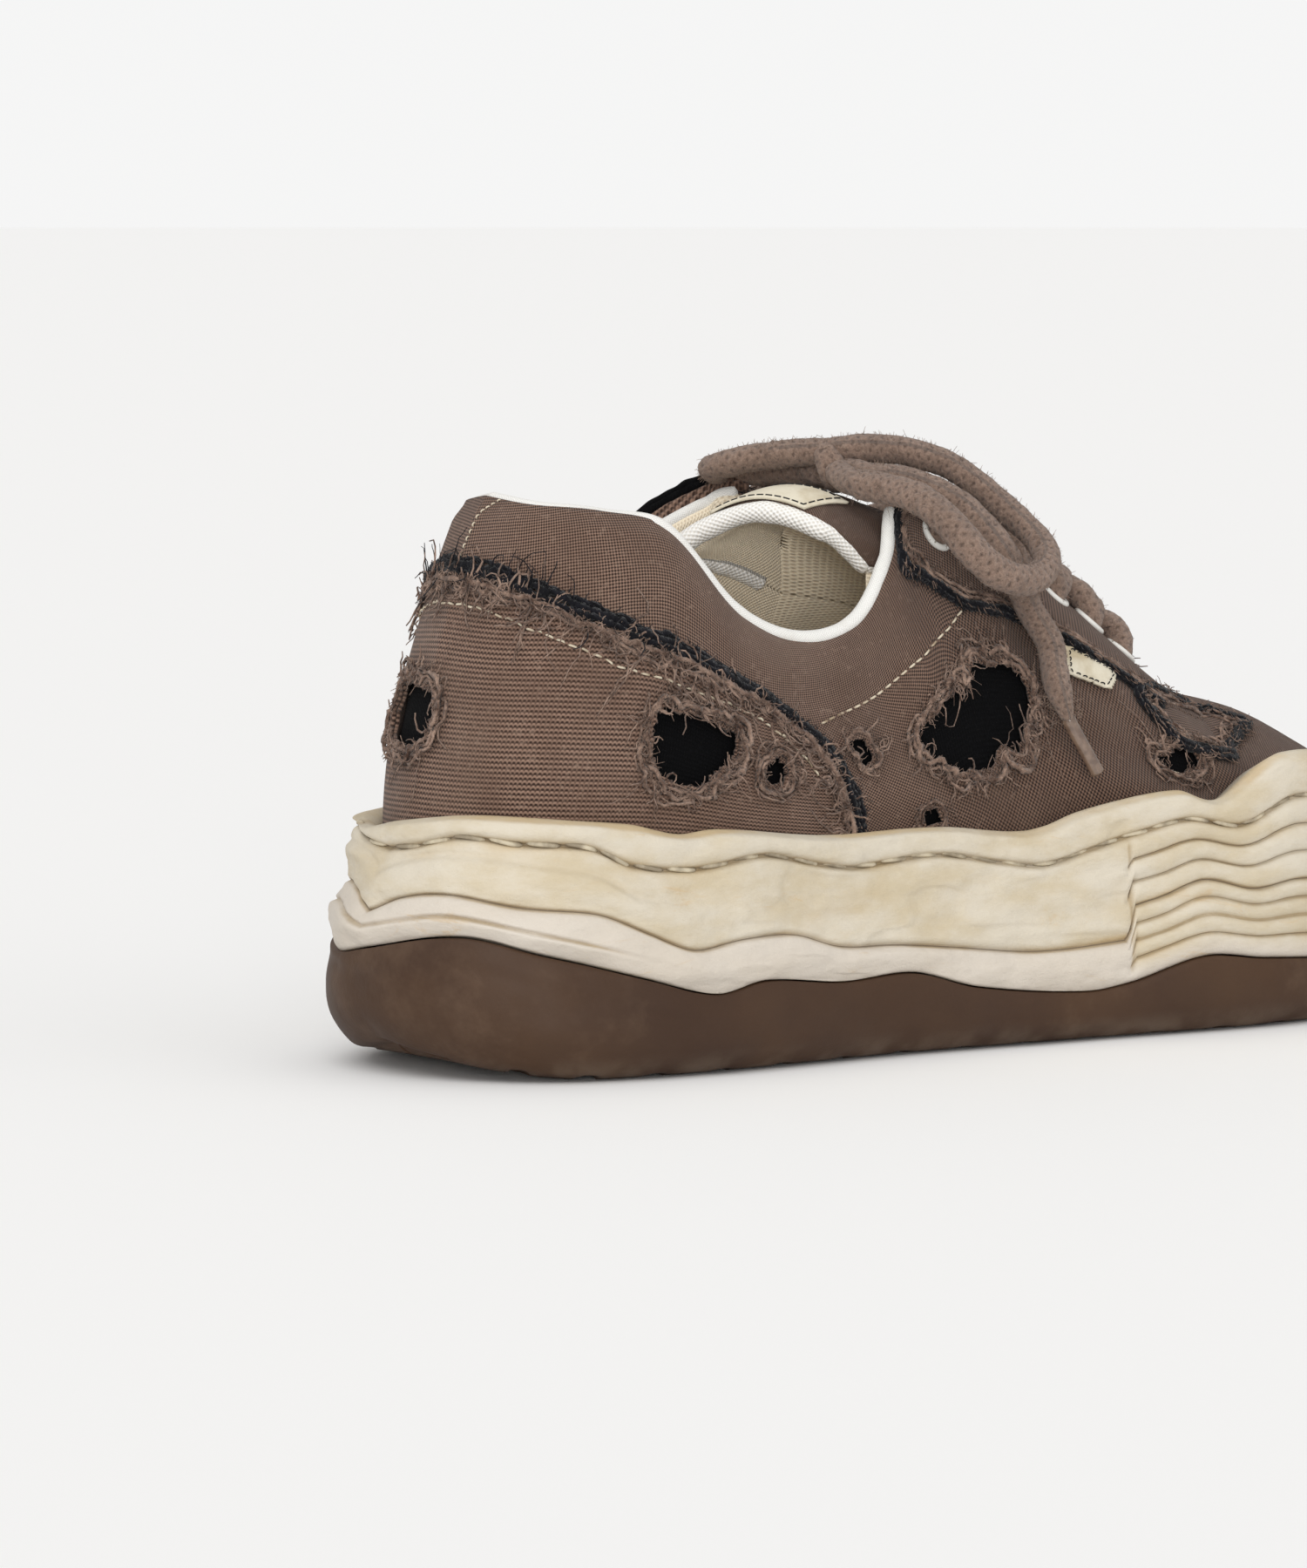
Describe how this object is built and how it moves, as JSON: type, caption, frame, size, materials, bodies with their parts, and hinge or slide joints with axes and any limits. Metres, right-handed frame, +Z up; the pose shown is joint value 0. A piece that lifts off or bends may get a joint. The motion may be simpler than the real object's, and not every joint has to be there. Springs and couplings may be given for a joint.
{
  "type": "low canvas sneaker",
  "caption": "Worn-out low canvas sneaker for the right foot: torn upper, padded collar, wavy thick sole, tongue and tied lace.",
  "frame": {"origin": "on the floor under the middle of the sole's box", "axes": "+X towards the toe, +Y to the inner side of the right foot, +Z up"},
  "size_m": [0.312, 0.1226, 0.1401],
  "materials": {
    "outsole_rubber": "matte brown rubber, scuffed",
    "midsole_foam": "matte cream, moulded by hand, stained",
    "canvas": "brown plain-weave canvas, torn",
    "insole_cloth": "off-white cloth",
    "tongue_cloth": "brown canvas over padding, white mesh inside",
    "lace_cord": "thick fuzzy braided cotton",
    "lace_tip": "smooth tip",
    "eyelet_metal": "white enamel, chipped"
  },
  "bodies": {
    "root": {"outsole": "outsole_rubber", "midsole": "midsole_foam", "upper": "canvas", "eyelet_outer_1": "eyelet_metal", "eyelet_inner_1": "eyelet_metal", "eyelet_outer_2": "eyelet_metal", "eyelet_inner_2": "eyelet_metal", "eyelet_outer_3": "eyelet_metal", "eyelet_inner_3": "eyelet_metal", "eyelet_outer_4": "eyelet_metal", "eyelet_inner_4": "eyelet_metal", "eyelet_outer_5": "eyelet_metal", "eyelet_inner_5": "eyelet_metal", "eyelet_outer_6": "eyelet_metal", "eyelet_inner_6": "eyelet_metal", "insole": "insole_cloth", "tongue": "tongue_cloth", "lace_crossings": "lace_cord", "lace_knot": "lace_cord", "lace_loop_outer": "lace_cord", "lace_loop_inner": "lace_cord", "lace_end_outer": "lace_cord", "lace_end_inner": "lace_cord", "lace_tip_outer": "lace_tip", "lace_tip_inner": "lace_tip"}
  },
  "joints": []
}
